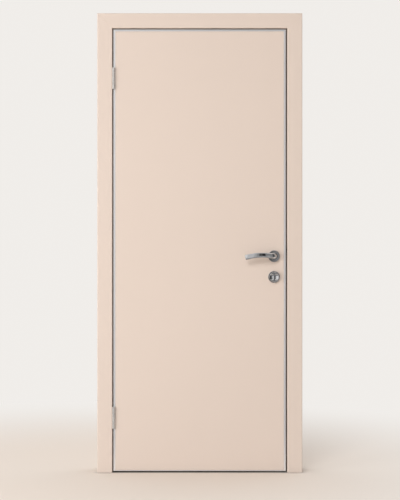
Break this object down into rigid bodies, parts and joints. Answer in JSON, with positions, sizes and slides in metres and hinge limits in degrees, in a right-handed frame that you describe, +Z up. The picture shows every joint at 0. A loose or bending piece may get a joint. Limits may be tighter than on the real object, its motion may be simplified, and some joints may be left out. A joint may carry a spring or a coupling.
{
  "type": "interior door set",
  "caption": "Flush interior door with aluminium edging, hinged in a rebated frame with mitred casings on both sides, with lever handles and a privacy turn.",
  "frame": {"origin": "on the outer face of the hinge jamb, half way through the wall, at floor level", "axes": "+X from the hinge jamb to the lock jamb, +Y from the opening side through the wall, +Z up"},
  "size_m": [0.9515, 0.17, 2.132],
  "materials": {
    "frame_paint": "satin cream paint on fibre board",
    "leaf_paint": "smooth satin cream laminate",
    "core_board": "raw light core board",
    "edging_aluminium": "satin anodised",
    "seal_rubber": "matt beige rubber",
    "hinge_steel": "satin nickel plate",
    "lock_steel": "satin nickel plate",
    "spindle_steel": "plain steel",
    "handle_chrome": "polished chrome"
  },
  "bodies": {
    "frame": {"hinge_jamb": "frame_paint", "lock_jamb": "frame_paint", "frame_head": "frame_paint", "front_casing_hinge_side": "frame_paint", "front_casing_lock_side": "frame_paint", "front_casing_head": "frame_paint", "back_casing_hinge_side": "frame_paint", "back_casing_lock_side": "frame_paint", "back_casing_head": "frame_paint", "seal_hinge_side": "seal_rubber", "seal_lock_side": "seal_rubber", "seal_head": "seal_rubber", "strike_plate": "lock_steel", "top_hinge_frame_plate": "hinge_steel", "top_hinge_pin": "hinge_steel", "bottom_hinge_frame_plate": "hinge_steel", "bottom_hinge_pin": "hinge_steel"},
    "leaf": {"leaf_core": "core_board", "leaf_front_skin": "leaf_paint", "leaf_back_skin": "leaf_paint", "leaf_edging_hinge_side": "edging_aluminium", "leaf_edging_lock_side": "edging_aluminium", "leaf_edging_top": "edging_aluminium", "leaf_edging_bottom": "edging_aluminium", "top_hinge_door_plate": "hinge_steel", "bottom_hinge_door_plate": "hinge_steel", "mortise_lock": "lock_steel", "latch": "lock_steel", "dead_bolt": "lock_steel", "front_lever_rose": "handle_chrome", "back_lever_rose": "handle_chrome", "front_turn_rose": "handle_chrome", "back_turn_rose": "handle_chrome"},
    "lever": {"front_lever": "handle_chrome", "back_lever": "handle_chrome", "lever_spindle": "spindle_steel"},
    "turn": {"turn_knob": "handle_chrome", "release_disc": "handle_chrome", "turn_spindle": "spindle_steel"}
  },
  "joints": [
    {"name": "door_swing", "type": "hinge", "parent": "frame", "child": "leaf", "pos_m": [0.03, -0.0605, 0], "axis": [0, 0, -1], "range_deg": [0, 170]},
    {"name": "lever_turn", "type": "hinge", "parent": "leaf", "child": "lever", "pos_m": [0.774, -0.054, 1.004], "axis": [0, -1, 0], "range_deg": [0, 40], "stiffness_Nm_per_rad": 1.5, "springref_deg": -20.05},
    {"name": "privacy_turn", "type": "hinge", "parent": "leaf", "child": "turn", "pos_m": [0.774, -0.054, 0.908], "axis": [0, 1, 0], "range_deg": [0, 90]}
  ]
}
